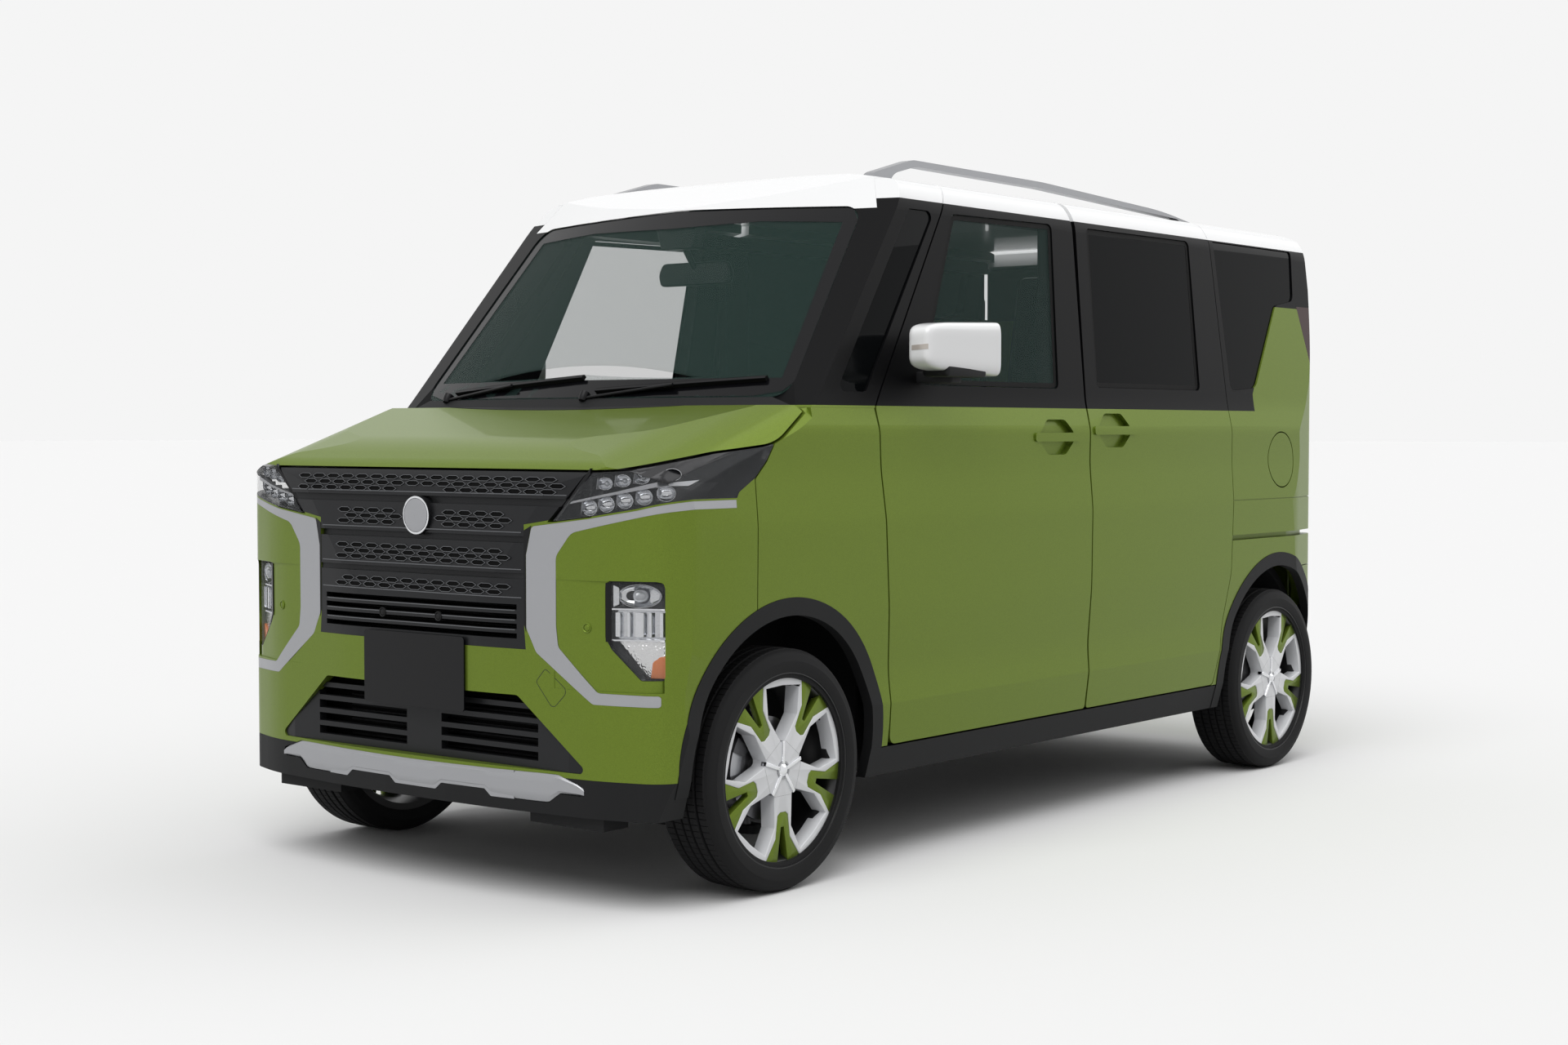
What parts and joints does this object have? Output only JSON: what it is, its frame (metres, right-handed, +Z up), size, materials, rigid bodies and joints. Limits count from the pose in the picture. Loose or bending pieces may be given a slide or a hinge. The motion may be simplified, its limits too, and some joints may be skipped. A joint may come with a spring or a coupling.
{
  "type": "tall microvan",
  "caption": "Small tall two-box passenger van with hinged front doors, rear sliding doors, lifting tailgate and bonnet, steered front wheels and a two-tone body.",
  "frame": {"origin": "on the floor under the middle of the body's length and width", "axes": "-Y is the front, +X the car's left side, +Z up"},
  "size_m": [1.708, 3.3948, 1.7998],
  "materials": {
    "paint_green": "metallic clear coat",
    "paint_white": "gloss pearl",
    "black_gloss": "gloss",
    "black_trim": "fine grain",
    "grille_grey": "dark gloss",
    "silver": "satin silver paint",
    "chrome": "polished",
    "clear_glass": "clear",
    "dark_glass": "privacy tint",
    "lamp_clear": "clear lens",
    "lamp_red": "red lens",
    "tyre_rubber": "low profile",
    "wheel_white": "pearl white",
    "cast_metal": "cast",
    "steel_black": "chassis black",
    "seat_fabric": "dark woven",
    "cabin_plastic": "soft grain"
  },
  "bodies": {
    "body": {"floor_pan": "steel_black", "side_frames": "paint_green", "roof_panel": "paint_white", "fenders": "paint_green", "front_bumper": "paint_green", "grilles": "grille_grey", "silver_trim": "silver", "front_lamps": "lamp_clear", "cowl_panel": "black_trim", "windscreen": "clear_glass", "side_glass": "dark_glass", "sliding_doors": "paint_green", "roof_rails": "silver", "lower_trim": "black_trim", "rear_bumper": "paint_green", "tail_lamps": "lamp_red", "dashboard": "cabin_plastic", "front_seats": "seat_fabric", "rear_seat": "seat_fabric", "engine_block": "cast_metal", "front_subframe": "steel_black", "rear_axle": "steel_black", "number_plate_front": "black_gloss"},
    "front_door_left": {"front_door_left": "paint_green", "door_glass_left": "clear_glass", "mirror_left": "paint_white"},
    "front_door_right": {"front_door_right": "paint_green", "door_glass_right": "clear_glass", "mirror_right": "paint_white"},
    "tailgate": {"tailgate": "paint_green", "tailgate_glass": "dark_glass", "rear_spoiler": "paint_white", "number_plate_rear": "black_gloss"},
    "bonnet": {"bonnet": "paint_green"},
    "fuel_lid": {"fuel_lid": "paint_green"},
    "knuckle_left": {"knuckle_left": "cast_metal"},
    "knuckle_right": {"knuckle_right": "cast_metal"},
    "wheel_fl": {"tyre_fl": "tyre_rubber", "rim_fl": "wheel_white"},
    "wheel_fr": {"tyre_fr": "tyre_rubber", "rim_fr": "wheel_white"},
    "wheel_rl": {"tyre_rl": "tyre_rubber", "rim_rl": "wheel_white"},
    "wheel_rr": {"tyre_rr": "tyre_rubber", "rim_rr": "wheel_white"}
  },
  "joints": [
    {"name": "front_door_left_hinge", "type": "hinge", "parent": "body", "child": "front_door_left", "pos_m": [0.738, -0.778, 0.7], "axis": [0, 0, -1], "range_deg": [0, 65]},
    {"name": "front_door_right_hinge", "type": "hinge", "parent": "body", "child": "front_door_right", "pos_m": [-0.738, -0.778, 0.7], "axis": [0, 0, 1], "range_deg": [0, 65]},
    {"name": "tailgate_hinge", "type": "hinge", "parent": "body", "child": "tailgate", "pos_m": [0, 1.588, 1.748], "axis": [1, 0, 0], "range_deg": [0, 80]},
    {"name": "bonnet_hinge", "type": "hinge", "parent": "body", "child": "bonnet", "pos_m": [0, -1.1, 1.15], "axis": [-1, 0, 0], "range_deg": [0, 45]},
    {"name": "steering_left", "type": "hinge", "parent": "body", "child": "knuckle_left", "pos_m": [0.6, -1.196, 0.15], "axis": [-0.1961, 0, 0.9806], "range_deg": [-32, 32]},
    {"name": "steering_right", "type": "hinge", "parent": "body", "child": "knuckle_right", "pos_m": [-0.6, -1.196, 0.15], "axis": [0.1961, 0, 0.9806], "range_deg": [-32, 32]},
    {"name": "fuel_lid_hinge", "type": "hinge", "parent": "body", "child": "fuel_lid", "pos_m": [0.738, 1.24, 0.985], "axis": [0, 0, -1], "range_deg": [0, 85]},
    {"name": "wheel_fl_spin", "type": "hinge", "parent": "knuckle_left", "child": "wheel_fl", "pos_m": [0.649, -1.196, 0.286], "axis": [1, 0, 0], "continuous": true},
    {"name": "wheel_fr_spin", "type": "hinge", "parent": "knuckle_right", "child": "wheel_fr", "pos_m": [-0.649, -1.196, 0.286], "axis": [1, 0, 0], "continuous": true},
    {"name": "wheel_rl_spin", "type": "hinge", "parent": "body", "child": "wheel_rl", "pos_m": [0.649, 1.299, 0.286], "axis": [1, 0, 0], "continuous": true},
    {"name": "wheel_rr_spin", "type": "hinge", "parent": "body", "child": "wheel_rr", "pos_m": [-0.649, 1.299, 0.286], "axis": [1, 0, 0], "continuous": true}
  ],
  "couplings": [
    {"joint": "steering_right", "follows": "steering_left", "ratio": 1}
  ]
}
